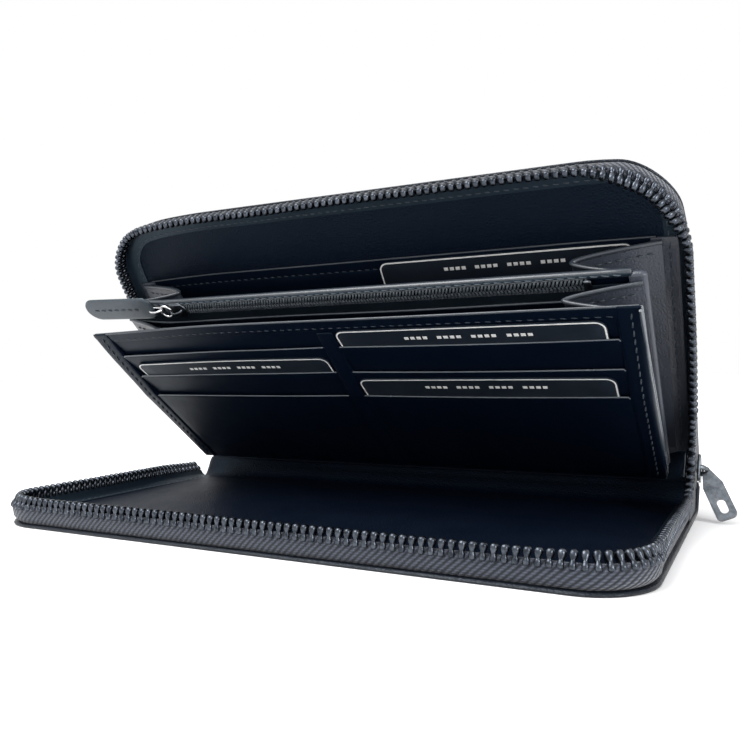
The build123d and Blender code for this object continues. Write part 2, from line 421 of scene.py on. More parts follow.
def twill(name, dark, light, size):
    """Woven tape: slanted ribs of yarn, each broken up into short threads."""
    n = Nodes(name)
    turned = n.add("Mapping")
    turned.inputs["Rotation"].default_value = (0, 0, radians(48))
    n.link(n.place.outputs["UV"], turned.inputs["Vector"])
    ribs = n.wave("X", 34 / size, turned.outputs["Vector"], Distortion=0.6, Detail_Scale=3)
    yarns = n.wave("Y", 62 / size, n.place.outputs["UV"], Distortion=1.5)
    weave = n.multiply(ribs, n.range(yarns, 0.55, 1.0))
    fuzz = n.noise(3500, 3, 0.7)
    shade = n.multiply(weave, n.range(fuzz, 0.6, 1.25))
    n.colours(shade, ((0.1, dark), (0.8, light)))
    n.bump(((weave, 0.9, 0.22 * size), (fuzz, 0.4, 0.06)))
    n.set(roughness=0.86, specular_ior_level=0.25, sheen_weight=0.25, sheen_roughness=0.5)
    return n.material


def metal(name, dark, light, rough, scratch=0.3):
    """Plated metal: darker in some random patches and worn bright in others, with fine tumbling marks."""
    n = Nodes(name)
    worn = n.noise(420, 5, 0.65)
    n.colours(worn, ((0.35, dark), (0.7, light)))
    marks = n.noise(5200, 2, 0.5)
    n.bump(((worn, 0.2, 0.06), (marks, scratch, 0.02)))
    n.rough(900, 3, rough - 0.08, rough + 0.1)
    n.set(metallic=1.0)
    return n.material


def plain(name, dark, light, rough, scale=300, depth=0.15, gloss=0.5):
    """A moulded, printed or twisted surface with slight unevenness."""
    n = Nodes(name)
    patches = n.noise(scale, 4, 0.6)
    n.colours(patches, ((0.3, dark), (0.7, light)))
    n.bump(((n.noise(scale * 8, 3, 0.6), depth, 0.05),))
    n.link(n.range(n.noise(scale * 0.6, 3), rough - 0.05, rough + 0.07), n.shader.inputs["Roughness"])
    n.set(specular_ior_level=gloss)
    return n.material


COOL = (0.55, 0.80, 1.0, 1)
FAINTLY_COOL = (0.82, 0.90, 1.0, 1)
materials = {
    "outer": leather("outer_leather", (0.003, 0.0045, 0.008), (0.006, 0.008, 0.013), 0.36, 1.0, 0.8, 0.3),
    "lining": leather("lining_leather", (0.001, 0.0026, 0.0078), (0.0022, 0.0042, 0.0105), 0.46, 1, 0.95,
                      0.14),
    "wall": leather("wall_leather", (0.0009, 0.003, 0.0086), (0.0018, 0.0042, 0.011), 0.4, 0.7, 0.25, 0.16),
    "gusset": leather("gusset_leather", (0.020, 0.025, 0.036), (0.043, 0.050, 0.068), 0.40, 1.1, 0.45, 0.5),
    "rim": leather("rim_leather", (0.016, 0.022, 0.030), (0.036, 0.044, 0.056), 0.30, 0.6, 0.2, 0.6),
    # edge paint on the glossy edges; its colour, far lighter than the wall leather, is a painted highlight
    "edge": leather("edge_paint_with_painted_highlight", (0.040, 0.052, 0.066), (0.085, 0.100, 0.118), 0.24, 0.5, 0.10, 0.9),
    "piping": leather("piping_leather", (0.006, 0.010, 0.016), (0.012, 0.018, 0.026), 0.42, 0.8, 0.4, 0.35),
    "pull": leather("pull_leather", (0.014, 0.021, 0.028), (0.030, 0.042, 0.052), 0.38, 0.8, 0.35, 0.6),
    "tape": twill("twill_tape", (0.010, 0.013, 0.019), (0.066, 0.076, 0.104), 1.4),
    "thread": plain("thread", (0.014, 0.020, 0.028), (0.036, 0.048, 0.062), 0.55, 900, 0.5),
    "teeth": metal("zip_teeth", (0.026, 0.031, 0.040), (0.105, 0.118, 0.140), 0.31),
    "gunmetal": metal("slider_metal", (0.07, 0.08, 0.092), (0.17, 0.185, 0.205), 0.31),
    "silver": metal("ring_silver", (0.55, 0.55, 0.57), (0.82, 0.82, 0.83), 0.16, 0.1),
    "coil": plain("zip_coil", (0.030, 0.040, 0.050), (0.085, 0.100, 0.115), 0.34, 700, 0.1, 0.5),
    "card": plain("card_face", (0.007, 0.010, 0.016), (0.013, 0.017, 0.024), 0.48, 60, 0.05, 0.2),
    "silver_ink": plain("card_silver", (0.60, 0.60, 0.60), (0.78, 0.78, 0.76), 0.35, 500, 0.05, 0.6),
    "board": plain("board", (0.04, 0.04, 0.04), (0.06, 0.055, 0.05), 0.8, 200),
}
for name in ("outer", "lining", "wall", "piping", "card", "pull"):
    tint = FAINTLY_COOL if name in ("outer", "pull") else COOL
    materials[name].node_tree.nodes["Principled BSDF"].inputs["Specular Tint"].default_value = tint
SLOTS = {
    "outer": "outer_leather", "gusset": "grained_leather", "tape": "twill", "thread": "twill",
    "teeth": "zip_metal", "gunmetal": "zip_metal", "silver": "bright_ring", "coil": "coil",
    "card": "card", "silver_ink": "card", "board": "board",
    **dict.fromkeys(("lining", "wall", "edge", "rim", "piping", "pull"), "inner_leather"),
}


# ---- covers

SIDE = COVER_DEPTH - CORNER
ARC = (CORNER - ZIP_INSET) * pi / 2
ACROSS = 2 * (COVER_HALF - CORNER)
AROUND = 2 * SIDE + 2 * ARC + ACROSS


def outline(distance):
    """A point of a cover's outline and its outward normal, from the left crease round to the right."""
    left = distance < AROUND / 2
    along = distance if left else AROUND - distance
    sign = -1 if left else 1
    if along < SIDE:
        return (sign * COVER_HALF, along), (sign, 0.0)
    if along < SIDE + ARC:
        turn = (along - SIDE) / ARC * pi / 2
        c, s = cos(turn), sin(turn)
        return (sign * (COVER_HALF - CORNER + CORNER * c), SIDE + CORNER * s), (sign * c, s)
    rest = along - SIDE - ARC
    return (sign * (COVER_HALF - CORNER - rest), COVER_DEPTH), (0.0, 1.0)


def at_corner(distance):
    """1 in the round corners, 0 away from them."""
    along = min(distance, AROUND - distance)
    middle = SIDE + ARC / 2
    return smooth(1 - (abs(along - middle) - ARC * 0.25) / (ARC * 0.7))


def lean(name, distance, height):
    """How far the zip wall moves inwards at a height, and how much of its height it keeps."""
    share = min(max(height / ZIP_TOP, 0), 1)
    corner = at_corner(distance)
    right = smooth((distance - AROUND * 0.55) / 60)
    ripple = 0.16 * sin(distance / 9.0) + 0.12 * sin(distance / 23.0 + 1.0)
    if name == "base":
        inwards = 1.4 * corner
        swell = 0.45 + 1.3 * corner
        fall = 38 * smooth((48 - distance) / 44)
    else:
        inwards = 3.4 * corner * right - 1.3 * (1 - corner * right) * smooth((AROUND - 26 - distance) / 45)
        swell = 0.3 + 1.0 * corner * right
        fall = 0
    fall = radians(fall)
    inwards -= height * sin(fall)
    return inwards * share**1.5 - swell * sin(pi * share) + ripple * share, cos(fall)


def rim(name, cover, distance, inset, height):
    """A point of the zip wall of a cover."""
    (x, up), (nx, ny) = outline(distance)
    inwards, keep = lean(name, distance, height)
    inset += inwards
    return cover.at(x - nx * inset, up - ny * inset, height * keep)


def swept(shape, place, profile, start, end, step=2.0):
    """Sweep a profile of (inset, height) pairs along a cover's outline."""
    count = max(2, int(abs(end - start) / step) + 1)
    lengths = travelled(profile)
    rings = []
    for distance in steps(start, end, count):
        rings.append([])
        for (inset, height), length in zip(profile, lengths):
            rings[-1].append(shape.point(place(distance, inset, height), distance, length))
    shape.loft(rings)


def bent(wall_a, wall_b, far):
    """Maps flat coordinates that run down wall_a, over its crease and on along the spine."""

    def at(x, up, out):
        if up >= BEND:
            return wall_a.at(x, up, out)
        if up <= -BEND:
            return wall_b.at(x, far(-up), out)
        share = (BEND - up) / (2 * BEND)
        a, b = wall_a.at(x, BEND, 0), wall_b.at(x, far(BEND), 0)
        corner = wall_a.at(x, 0, 0)
        place = a * (1 - share) ** 2 + corner * (2 * share * (1 - share)) + b * share**2
        normal = wall_a.normal.lerp(wall_b.normal, share).normalized()
        return place + normal * (out * MM)

    return at


base_bent = bent(base, spine, lambda s: s)
back_bent = bent(back, spine, lambda s: SPINE - s)
base_ends = (base.at(0, BEND, 0), spine.at(0, BEND, 0))
back_ends = (spine.at(0, SPINE - BEND, 0), back.at(0, BEND, 0))


def cover_span(inset):
    """Half widths of a cover, narrower in its round corners."""
    radius = CORNER - inset
    half = COVER_HALF - inset
    end = COVER_DEPTH - inset

    def span(up):
        over = min(max(up - (end - radius), 0), radius)
        reach = half - radius + sqrt(max(radius**2 - over**2, 0))
        return -reach, reach

    return span


def cover_rows(inset, start):
    """Places up a cover, close together at the crease and in the round corners."""
    radius = CORNER - inset
    end = COVER_DEPTH - inset
    rows = steps(start, 6, 14)[:-1] + steps(6, end - radius, 22)[:-1]
    rows += [end - radius + radius * sin(radians(a)) for a in range(0, 91, 6)]
    return rows


def cross_crease(piece, name):
    """Bake the transform of a piece that its mapping has already bent over the crease beside a cover."""
    if name == "base":
        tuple(base_ends[0])
        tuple(base_ends[1])
        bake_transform(piece)
    else:
        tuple(back_ends[0])
        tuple(back_ends[1])
        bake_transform(piece)


def soft_swell(x, up):
    """The slight pillow of a lined board."""
    across = 1 - (abs(x) / 106) ** 6
    along = 1 - (abs(up - 54) / 62) ** 6
    return 0.25 * max(across, 0) * max(along, 0) + 0.06 * sin(x / 21.0) * sin(up / 17.0)


def make_panels(name, cover, mapped):
    """Outer leather with its stitching, board and lining of a cover."""
    inset = 0.7 if name == "base" else 1.5
    rows = cover_rows(inset, -SPINE / 2)
    skin = Shape().sheet(mapped, cover_span(inset), rows, 41, -1.3, -0.15, 0.7)
    nodes = [f"{name}_outer_leather"] + ["spine_leather"] * (name == "base")
    cross_crease(skin.make(f"{name}_cover_leather", "outer", None, *nodes), name)

    outside = Shape()
    seam = []
    for distance in steps(4, AROUND - 4, 260):
        (x, up), (nx, ny) = outline(distance)
        seam.append(cover.at(x - nx * 4.6, up - ny * 4.6, -1.22))
    outside.stitches(seam, -cover.normal, 3.2, 2.4, 0.5, 0.22)
    outside.make(f"{name}_outside_stitches", "thread", f"{name}_cover")

    board = Shape().sheet(cover.at, cover_span(4.0), cover_rows(4.0, 2.5), 21, -0.1, 0.45, 0.2)
    board.make(f"{name}_board", "board", f"{name}_cover", f"{name}_stiffener_board")

    rows = cover_rows(2.6, -SPINE / 2)
    lining = Shape().sheet(mapped, cover_span(2.6), rows, 41, 0.5, lambda x, up: 1.3 + soft_swell(x, up), 0.2)
    nodes = [f"{name}_lining"] + ["spine_lining"] * (name == "base")
    cross_crease(lining.make(f"{name}_lining_leather", "lining", None, *nodes), name)


def make_zip_wall(name, cover):
    """Twill tape, teeth, piping and its stitching round a cover."""

    def place(distance, inset, height):
        return rim(name, cover, distance, inset, height)

    tape = Shape()
    profile = [(1.9, -0.1), (1.5, 0.3), (1.25, 0.9), (1.0, 1.8), (1.0, 4.5), (1.05, 6.3), (1.75, 6.3)]
    profile += [(1.8, 4.5), (1.8, 1.8), (2.4, 0.9), (2.6, 0.2)]
    swept(tape, place, profile, 3.5, AROUND - TEETH_FROM, 1.5)
    tape.make(f"{name}_twill_tape", "tape", f"{name}_cover", f"{name}_zip_tape")

    teeth = Shape()
    distance = 4.0 if name == "base" else 4.0 + TOOTH_PITCH / 2
    while distance < AROUND - TEETH_FROM:
        add_tooth(teeth, place, distance)
        distance += TOOTH_PITCH
    teeth.make(f"{name}_teeth", "teeth", f"{name}_cover", f"{name}_zip_teeth")

    strip = Shape()
    profile = [(1.85, 4.9), (2.15, 5.0), (2.35, 4.4), (2.45, 3.2), (3.2, 2.2), (4.6, 1.8), (7.0, 1.75)]
    profile += [(7.35, 1.66), (7.4, 1.45), (7.0, 1.25), (3.0, 1.2), (1.9, 2.0)]
    swept(strip, place, profile, 3.5, AROUND - 3.5)
    strip.make(f"{name}_piping", "piping", f"{name}_cover", f"{name}_zip_binding")

    seam = [place(d, 6.1, 1.62) for d in steps(5, AROUND - 5, 260)]
    sewing = Shape().stitches(seam, cover.normal, 3.0, 2.2, 0.5, 0.26)
    sewing.make(f"{name}_piping_stitches", "thread", f"{name}_cover")


def add_tooth(shape, place, distance):
    """A tooth on a cover's zip wall."""
    foot = place(distance, ZIP_INSET, 4.6)
    tip = place(distance, ZIP_INSET, ZIP_TOP)
    along = (place(distance + 0.5, ZIP_INSET, 5) - place(distance - 0.5, ZIP_INSET, 5)).normalized()
    across = along.cross(tip - foot).normalized()
    shape.tooth(foot, tip, along, across)


def curve_point(points, t):
    """A point of a Bezier curve."""
    while len(points) > 1:
        points = [a.lerp(b, t) for a, b in zip(points, points[1:])]
    return points[0]


def make_zip_tail(name, cover, mapped, toward):
    """The last teeth of a row and their tape, which swing from the cover's wall into the slider."""
    x = COVER_HALF - ZIP_INSET
    height = 7.2
    wall_end = [cover.at(x, TEETH_FROM - 0.5, height), cover.at(x, TEETH_FROM - 6, height)]
    mouth = [slide.at(x, 24, toward * 1.9), slide.at(x, 16.5, toward * 1.35)]
    count = 60
    path = [curve_point(wall_end + mouth, t) for t in steps(0, 1, count)]
    foot = [mapped(x + 0.2, up, 0.4) for up in steps(TEETH_FROM - 0.5, 3.0, count)]
    lengths = travelled(path, MM)
    teeth = Shape()
    wanted = 0.9
    for i in range(1, count):
        if lengths[i] >= wanted:
            along = (path[i] - path[i - 1]).normalized()
            outward = Vector((1, 0, 0))
            rise = outward.cross(along).normalized()
            if rise.dot(path[i] - foot[i]) < 0:
                rise = -rise
            teeth.tooth(path[i] - rise * (2.5 * MM), path[i] + rise * (2.5 * MM), along, outward)
            wanted += TOOTH_PITCH
    tape = Shape()
    rings = []
    for low, top, length in zip(foot, path, lengths):
        tall = (top - low).length / MM
        ring = []
        for share in (0, 0.15, 0.4, 0.7, 0.94):
            swell = sin(pi * share) * 0.4
            ring.append((low.lerp(top, share) + Vector(((swell + 0.4) * MM, 0, 0)), tall * share))
        outer = [tape.point(p, length, v) for p, v in ring]
        inner = [tape.point(p - Vector((0.75 * MM, 0, 0)), length, v) for p, v in reversed(ring)]
        rings.append(outer + inner)
    tape.loft(rings)
    ends = (cover.at(0, TEETH_FROM - 2, 5), slide.at(0, 17, 0))
    for piece in (teeth.make(f"{name}_tail_teeth", "teeth"), tape.make(f"{name}_tail_tape", "tape")):
        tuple(ends[0])
        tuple(ends[1])
        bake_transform(piece)


# ---- walls


def line(wall, x0, up0, x1, up1, out, count=40):
    """Points of a straight line on a wall, in metres."""
    return [wall.at(mix(x0, x1, t), mix(up0, up1, t), out) for t in steps(0, 1, count)]


def sew(name, body, rows):
    """One thread piece of several stitch rows: (points, normal)."""
    sewing = Shape()
    for points, normal in rows:
        sewing.stitches(points, normal)
    sewing.make(name, "thread", body)


def rounded_span(x0, x1, bottom, radius):
    """Limits of a panel with round bottom corners."""

    def span(up):
        below = min(max(bottom + radius - up, 0), radius)
        cut = radius - sqrt(max(radius**2 - below**2, 0))
        return x0 + cut, x1 - cut

    return span


FRONT_EDGES = {"top": 75.0, "middle": 63.0, "bottom": 51.0}
FRONT_FACES = {"top": -0.325, "middle": 0.925, "bottom": 2.275}
# heights close together where a strip steps over the edges of the slots
STEPPED_ROWS = (48, 50, 51, 52, 53, 55, 60, 62, 63, 64, 65, 68, 72, 74, 75, 76, 77, 79)


def strip_face(x, up):
    """The face of a strip that covers the ends of the slots, falling back over the stepped layers."""
    return 2.5 - 3.95 * min(max((up - 51) / 33, 0), 1)


def bow(x, x0, x1):
    """How far a slot's edge sags in its middle."""
    share = (x - x0) / (x1 - x0) * 2 - 1
    return 0.5 * (share * share - 1)


def make_front_wall():
    """Panel, hem, slots, strips and stitching of the front card wall."""
    ups = [1, 1.2, 2, 3, 5, 8, 20, 40, 60, 80, 86]
    panel = Shape().sheet(front.at, rounded_span(-FRONT_HALF, FRONT_HALF, 1, 7), ups, 31, -2.25, -1.8, 0.4)
    panel.make("front_panel_leather", "wall", "front_wall", "front_wall_panel")
    hem = Shape().sheet(front.at, (-FRONT_HALF, FRONT_HALF), [82.2, 83, 84.5, 86, 86.5], 41, -2.62, -1.7, 0.5)
    hem.make("front_hem_roll", "wall", "front_wall", "front_top_hem")
    ripple = [front.at(x, 86.7, -2.05 + 0.06 * sin(x / 19.0)) for x in steps(-98, 98.4, 80)]
    Shape().tube(ripple, 0.42).make("front_hem_edge", "rim", "front_wall")
    for side, sign in (("right", 1), ("left", -1)):
        for row in ("top", "middle", "bottom"):
            make_front_slot(side, sign, row)
        span = (92.9, 98.6) if sign > 0 else (-98.6, -92.9)
        rows = [4, 5, 8, 20, 35, *STEPPED_ROWS, 82, 84, 86, 86.4]
        strip = Shape().sheet(front.at, rounded_span(*span, 1, 4), rows, 5, -2.2, strip_face, 0.75)
        strip.make(f"front_{side}_strip", "wall", "front_wall")
    rows = [4, 20, *STEPPED_ROWS, 81]
    middle = Shape().sheet(front.at, (-2.6, 2.6), rows, 5, -1.6, lambda x, up: strip_face(x, up) - 0.1, 0.5)
    middle.make("front_middle_strip", "wall", "front_wall")
    # the two lines down the right edge take the light edge material: edge paint with a painted highlight
    piping = Shape()
    for out, radius in ((-2.1, 0.55), (-0.6, 0.5)):
        points = []
        for up in steps(6, 86.5, 50):
            points.append(front.at(98.9, up, max(out, min(strip_face(98.9, up) - 0.5, out + 1.4))))
        piping.tube(points, radius)
    piping.make("front_right_piping", "edge", "front_wall")
    rows = [(line(front, -92, 83.2, 92, 83.2, -1.92, 60), front.normal)]
    for x in (-96.2, 96.2):
        points = [front.at(x, up, strip_face(x, up) + 0.05) for up in steps(6, 85, 60)]
        rows.append((points, front.normal))
    sew("front_wall_stitches", "front_wall", rows)


def make_front_slot(side, sign, row):
    """One slot layer with its slightly sagging edge in edge paint, coloured lighter than the wall as a
    painted highlight.
    """
    x0, x1 = sorted((sign * 2.6, sign * 93.5))
    face = FRONT_FACES[row]
    top = FRONT_EDGES[row]

    def at(x, up, out):
        near = smooth((up - top + 14) / 14)
        return front.at(x, up + bow(x, x0, x1) * near, out - 0.04 * near * (1 + sin(x / 13.0 + top)) / 2)

    ups = [3.8, 12, 25, 38, *range(44, int(top) - 3, 4), top - 3, top - 1.5, top - 0.2]
    slot = Shape().sheet(at, (x0, x1), ups, 25, face - 0.34, face, 0.2)
    slot.make(f"front_{side}_{row}_layer", "wall", "front_wall", f"front_{side}_slot_{row}")
    end = x1 - 1.6 if sign > 0 else x0 + 1.6
    start = x0 + 0.6 if sign > 0 else x1 - 0.6
    points = [at(x, top - 0.1, face - 0.28) for x in steps(start, end, 40)]
    points.append(at(end + sign * 0.5, top - 0.6, face - 0.1))
    Shape().tube(points, 0.3).make(f"front_{side}_{row}_edge", "edge", "front_wall")


def card_outline(x0, top, margin):
    """Points round a card, in flat coordinates."""
    width, height, radius = 85.6, 54.0, 3.2
    left, right = x0 + radius, x0 + width - radius
    high, low = top - radius, top - height + radius
    reach = radius - margin
    points = []
    for cx, cy, start in ((right, high, 0), (left, high, 90), (left, low, 180), (right, low, 270)):
        for angle in range(start, start + 91, 15):
            turn = radians(angle)
            points.append((cx + reach * cos(turn), cy + reach * sin(turn)))
    return points


def finer(points, longest):
    """The closed outline again, with its long stretches split up."""
    result = []
    for here, there in zip(points, points[1:] + points[:1]):
        count = ceil(dist(here, there) / longest) or 1
        for k in range(count):
            result.append((mix(here[0], there[0], k / count), mix(here[1], there[1], k / count)))
    return result


def make_card(node, body, wall, x0, top, low, gap):
    """Dummy card: dark face, silver border and plain silver marks in groups."""
    thick = 0.76
    out = low + (gap - thick) / 2
    radius = 3.0

    def span(up):
        over = max(up - (top - 0.15 - radius), (top - 53.85 + radius) - up, 0)
        cut = radius - sqrt(max(radius**2 - min(over, radius) ** 2, 0))
        return x0 + 0.15 + cut, x0 + 85.45 - cut

    corner = [radius * (1 - cos(radians(a))) for a in range(0, 91, 15)]
    ups = [top - 53.85 + c for c in corner] + [top - c for c in range(48, 5, -3)]
    ups += [top - 0.15 - c for c in reversed(corner)]
    face = Shape().sheet(wall.at, span, ups, 15, out, out + thick, 0.15)
    face.make(f"{node}_face", "card", body, node)
    points = [wall.at(x, up, out + thick - 0.02) for x, up in finer(card_outline(x0, top, 0.45), 3)]
    border = Shape().tube(points, 0.3, 6, closed=True, squash=0.2, normal=wall.normal)
    low_face, high_face = out + thick - 0.05, out + thick + 0.05
    for group in range(4):
        for mark in range(4):
            x = x0 + 24 + group * 11 + mark * 2.1
            border.sheet(wall.at, (x, x + 1.3), [top - 5.0, top - 3.9], 2, low_face, high_face, 0.1)
    border.make(f"{node}_print", "silver_ink", body)


def make_rear_wall():
    """Card wall on the back lining."""
    ups = [4, 5, 6, 8, 20, 40, 60, 80, 84]
    panel = Shape().sheet(back.at, rounded_span(-97, 97, 4, 3), ups, 25, 1.35, 1.95, 0.3)
    panel.make("rear_panel_leather", "wall", "back_cover", "rear_wall_panel")
    roll = Shape().sheet(back.at, (-99, 99), [83.4, 84.2, 85.5, 87, 87.6], 41, 1.3, 1.9, 0.4)
    roll.tube(line(back, -99, 87.6, 99, 87.6, 1.45), 0.5, 10)
    roll.make("rear_wall_hem", "wall", "back_cover")
    Shape().tube(line(back, -98.5, 88, 98.5, 88, 1.68), 0.34).make("rear_wall_edge", "rim", "back_cover")
    for row, top, face in (("top", 76, 3.3), ("middle", 64, 3.7), ("bottom", 52, 4.1)):
        ups = [4.2, 20, 40, top - 6, top - 2, top - 0.2]
        layer = Shape().sheet(back.at, (-96.8, 96.8), ups, 25, face - 0.38, face, 0.2)
        for x0, x1 in ((-92, -2.5), (2.5, 92)):
            layer.tube(line(back, x0, top - 0.1, x1, top - 0.1, face - 0.05), 0.32)
        layer.make(f"rear_{row}_layer", "wall", "back_cover", f"rear_slot_{row}")
    rows = [(line(back, -97, 84.4, 97, 84.4, 1.68, 60), back.normal)]
    for x in (-102.2, 102.2):
        points = [back.at(x, up, flap_face(x, up) + 0.06) for up in steps(6, 86.5, 50)]
        rows.append((points, back.normal))
    sew("rear_wall_stitches", "back_cover", rows)


def make_flaps():
    """The grained strips at the ends of the rear wall."""
    for name, sign in (("right", 1), ("left", -1)):
        x0, x1 = sorted((sign * 97.3, sign * 104.6))
        flap = Shape().sheet(back.at, (x0, x1), [4.4] + steps(8, 87.6, 20), 7, 1.3, flap_face, 0.35)
        flap.make(f"{name}_flap_leather", "gusset", "back_cover", f"{name}_gusset_flap")


def flap_face(x, up):
    """The flap lies on the lining at its outer edge and rises over the edge of the card wall."""
    rise = smooth((101.5 - abs(x)) / 4.5)
    return 2.25 + 1.95 * rise * smooth((80 - up) / 30) + 0.08 * sin(up / 6.0)


def make_coin_pocket():
    """Two panels, rolled sides and top, and the zip between them."""
    half = COIN_HALF
    ups = [1, 2, 4, 20, 40, 60, 80, 86]
    rear = Shape().sheet(coin.at, rounded_span(-half, half, 1, 4), ups, 25, -1.3, -0.65, 0.3)
    rear.make("coin_rear_leather", "wall", "coin_pocket", "coin_rear_panel", "coin_bottom_seam")
    ups = [1, 2, 4, 20, 40, 60, 70, 74, 76, 77, 77.6]

    def puff(x, up):
        return 1.1 + 0.2 * sin(x / 16.0) * smooth((up - 40) / 30) + 0.25 * smooth((up - 74) / 3)

    face = Shape().sheet(coin.at, rounded_span(-half, half, 1, 4), ups, 61, 0.6, puff, 0.35)
    face.make("coin_front_leather", "wall", "coin_pocket", "coin_front_panel")
    roll = Shape().sheet(coin.at, (-half, half), [86.2, 86.6, 87.1, 87.3], 41, -1.3, 0.7, 0.45)
    roll.make("coin_top_edge", "rim", "coin_pocket", "coin_top_roll")
    for name, sign in (("right", 1), ("left", -1)):
        x0, x1 = sorted((sign * (half + 0.2), sign * (half + 3.4)))
        side = Shape().sheet(coin.at, (x0, x1), [1.4, 3] + steps(8, 86, 12), 7, -1.35, 1.35, 0.95)
        side.make(f"coin_{name}_side", "gusset", "coin_pocket", f"coin_{name}_roll")
    bands = Shape().sheet(coin.at, (-half, half), [76.5, 78, 80, 82, 83.2], 61, 0.25, 0.62, 0.1)
    bands.sheet(coin.at, (-half, half), [85.9, 86.4, 87], 61, 0.25, 0.9, 0.1)
    bands.make("coin_zip_bands", "piping", "coin_pocket", "coin_zip_tape_upper", "coin_zip_tape_lower")
    # the lip along the top of the front panel takes the light edge material: edge paint with a painted
    # highlight
    wavy = [coin.at(x, 77.9, 0.95 + 0.2 * sin(x / 16.0)) for x in steps(-half, half, 80)]
    Shape().tube(wavy, 0.42).make("coin_front_lip", "edge", "coin_pocket")
    make_coil()
    rows = [(line(coin, -half + 2, 86.75, half - 2, 86.75, 0.98, 60), coin.normal)]
    rows.append((line(coin, -half + 2, 75.2, half - 2, 75.2, 1.35, 60), coin.normal))
    for x in (-95.2, 95.2):
        rows.append((line(coin, x, 4, x, 76, 1.4), coin.normal))
        rows.append((line(coin, x, 4, x, 85, -1.4), -coin.normal))
    sew("coin_pocket_stitches", "coin_pocket", rows)


def make_coil():
    """The coil chain: two rows of slanted loops that mesh along the middle."""
    coil = Shape()
    y = COIN_CHAIN
    x = -71.5
    while x < 81.4:
        for sign in (1, -1):
            points = []
            for t in (0.0, 0.2, 0.45, 0.7, 0.9, 1.0):
                reach = sign * (0.1 + 1.95 * t)
                lift = 0.88 + 0.48 * sin(pi * min(t + 0.15, 1.0)) ** 0.7
                shift = 0.75 * t + (0.34 if sign > 0 else -0.34)
                points.append(coin.at(x + shift, y + reach, lift))
            coil.tube(points, 0.38, 6)
        x += 1.14
    for sign in (1, -1):
        coil.tube(line(coin, -72, y + sign * 2.05, 81.6, y + sign * 2.05, 0.85), 0.3, 6)
    coil.make("coin_coil_chain", "coil", "coin_pocket", "coin_zip_coil")
    stops = Shape()
    for x0 in (-73.9, 81.7):
        stops.sheet(coin.at, (x0, x0 + 1.8), [82.8, 83.5, 84.9, 85.6], 4, 0.95, 1.85, 0.25)
    stops.make("coin_zip_stops", "gunmetal", "coin_pocket", "coin_zip_stop_left", "coin_zip_stop_right")


def make_coin_slider():
    """Small slider with a waisted top plate, side rims and a crown."""
    y = COIN_SLIDER
    body = Shape()

    def waist(up):
        across = abs(up - y) / 3.0
        return -71.6 + 0.9 * across**2, -64.2 - 1.5 * across**2

    body.sheet(coin.at, waist, steps(y - 2.8, y + 2.8, 9), 7, 1.75, 2.35, 0.25)
    for up in (y - 2.65, y + 2.65):
        body.sheet(coin.at, (-71.2, -66.2), [up - 0.35, up + 0.35], 4, 1.05, 1.8, 0.2)
    arch = [(t, sin(pi * t) ** 0.5) for t in steps(0, 1, 13)]
    crown = [coin.at(mix(-71.3, -66.2, t), y, 2.2 + 1.85 * rise) for t, rise in arch]
    body.tube(crown, 0.75, 10, squash=0.45, normal=coin.normal)
    body.make("coin_slider_metal", "gunmetal", "coin_slider", "coin_slider_body")


def pull_at(up, x, out):
    """Flat coordinates of the leather pull, which hangs a little askew from its ring."""
    tilt, hung_x, lifted = radians(2), -77.4, 3.0
    dx, dy = x - hung_x, up - COIN_SLIDER
    x = hung_x + dx * cos(tilt) + dy * sin(tilt)
    return pull_plane.at(x, COIN_SLIDER + lifted + dy * cos(tilt) - dx * sin(tilt), out)


def make_coin_pull():
    """The stitched leather tab of the coin slider, round at its far end."""
    middle, radius, far_end = COIN_SLIDER, 4.75, -111

    def half_width(x):
        if x < far_end + radius:
            return sqrt(max(radius**2 - (far_end + radius - x) ** 2, 0.02))
        if x > -80.5:
            return radius - 1.5 * smooth((x + 80.5) / 2.4)
        return radius

    def span(x):
        return middle - half_width(x), middle + half_width(x)

    def puff(up, x):
        return 3.55 + 0.28 * cos(min(abs(up - middle) / radius, 1) * pi / 2)

    stations = [far_end + radius * (1 - cos(radians(a))) for a in range(4, 91, 9)]
    stations += [-104, -100, -95, -90, -86, -83, -81, -80.2, -79.4, -78.6, -78.1]
    tab = Shape().sheet(pull_at, span, stations, 9, 2.75, puff, 0.3)
    tab.make("coin_pull_tab", "pull", "coin_pull", "coin_pull_leather")
    row = [pull_at(middle, x, 3.86) for x in steps(-107.5, -84, 20)]
    sew("coin_pull_stitches", "coin_pull", [(row, coin.normal)])


def make_pull_rings():
    """A flat ring through the crown of the slider and an upright one through the leather."""
    turns = [2 * pi * k / 48 for k in range(48)]
    y = COIN_SLIDER
    flat = [pull_plane.at(-72.3 + 2.5 * cos(a), y + 1.2 + 2.5 * sin(a), 3.35) for a in turns]
    upright = [pull_at(y - 0.7, -76.7 + 2.8 * cos(a), 3.5 + 1.25 * sin(a)) for a in turns]
    for node, points, normal in (("inner", flat, coin.normal), ("outer", upright, coin.rise)):
        ring = Shape().tube(points, 0.46, 12, closed=True, normal=normal)
        ring.make(f"coin_pull_ring_{node}_wire", "silver", "coin_pull", f"coin_pull_ring_{node}")


def paint(node, material):
    """Give a kept CAD node its material, with smooth shading."""
    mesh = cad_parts[node].data
    mesh.materials.clear()
    mesh.materials.append(materials[material])
    mesh.shade_smooth()
    mesh.set_sharp_from_angle(angle=radians(35))


# ---- gussets


